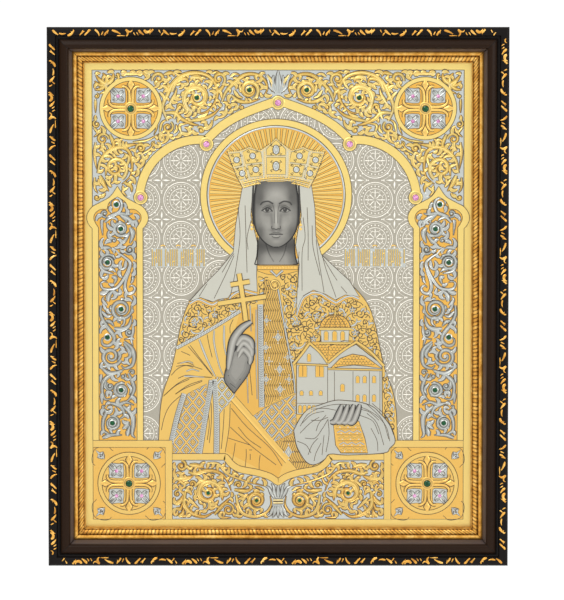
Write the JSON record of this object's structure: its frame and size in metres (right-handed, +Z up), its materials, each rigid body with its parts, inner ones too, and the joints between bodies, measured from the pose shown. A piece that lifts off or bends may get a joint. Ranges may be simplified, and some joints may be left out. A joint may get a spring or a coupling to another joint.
{
  "type": "icon panel",
  "caption": "Upright relief metal icon of a crowned, veiled figure under an arch, set with coloured stones, in a gilt slip and a dark moulded frame, to hang on a wall.",
  "frame": {"origin": "on the back face of the frame's top rail, at its middle, where the panel bears on the wall", "axes": "+Z up, +X to the right as a viewer sees the front, +Y into the wall, so the front faces -Y"},
  "size_m": [0.46, 0.04, 0.541],
  "materials": {
    "dark_moulding": "dark brown and black lacquered moulding with gilt leaf ornament",
    "gilt_slip": "gilded wood slip with a rope bead, dark in the hollows",
    "plated_metal": "engraved brass relief plate, gold plated in bands and scrolls and silver plated in the grounds, head and hands blackened grey",
    "board": "plain fibreboard",
    "green_stone": "deep green faceted glass stone",
    "pink_stone": "pale pink faceted glass stone"
  },
  "bodies": {
    "root": {"frame_rail_top": "dark_moulding", "frame_rail_left": "dark_moulding", "frame_rail_bottom": "dark_moulding", "frame_rail_right": "dark_moulding", "slip_top": "gilt_slip", "slip_left": "gilt_slip", "slip_bottom": "gilt_slip", "slip_right": "gilt_slip", "icon_plate": "plated_metal", "backing_board": "board", "green_stone_01": "green_stone", "green_stone_02": "green_stone", "green_stone_03": "green_stone", "green_stone_04": "green_stone", "green_stone_05": "green_stone", "green_stone_06": "green_stone", "green_stone_07": "green_stone", "green_stone_08": "green_stone", "green_stone_09": "green_stone", "green_stone_10": "green_stone", "green_stone_11": "green_stone", "green_stone_12": "green_stone", "green_stone_13": "green_stone", "green_stone_14": "green_stone", "green_stone_15": "green_stone", "green_stone_16": "green_stone", "green_stone_17": "green_stone", "green_stone_18": "green_stone", "green_stone_19": "green_stone", "green_stone_20": "green_stone", "green_stone_21": "green_stone", "green_stone_22": "green_stone", "green_stone_23": "green_stone", "green_stone_24": "green_stone", "green_stone_25": "green_stone", "green_stone_26": "green_stone", "pink_stone_01": "pink_stone", "pink_stone_02": "pink_stone", "pink_stone_03": "pink_stone", "pink_stone_04": "pink_stone", "pink_stone_05": "pink_stone", "pink_stone_06": "pink_stone", "pink_stone_07": "pink_stone", "pink_stone_08": "pink_stone", "pink_stone_09": "pink_stone", "pink_stone_10": "pink_stone", "pink_stone_11": "pink_stone", "pink_stone_12": "pink_stone", "pink_stone_13": "pink_stone", "pink_stone_14": "pink_stone", "pink_stone_15": "pink_stone", "pink_stone_16": "pink_stone", "pink_stone_17": "pink_stone", "pink_stone_18": "pink_stone", "pink_stone_19": "pink_stone", "pink_stone_20": "pink_stone", "pink_stone_21": "pink_stone"}
  },
  "joints": []
}
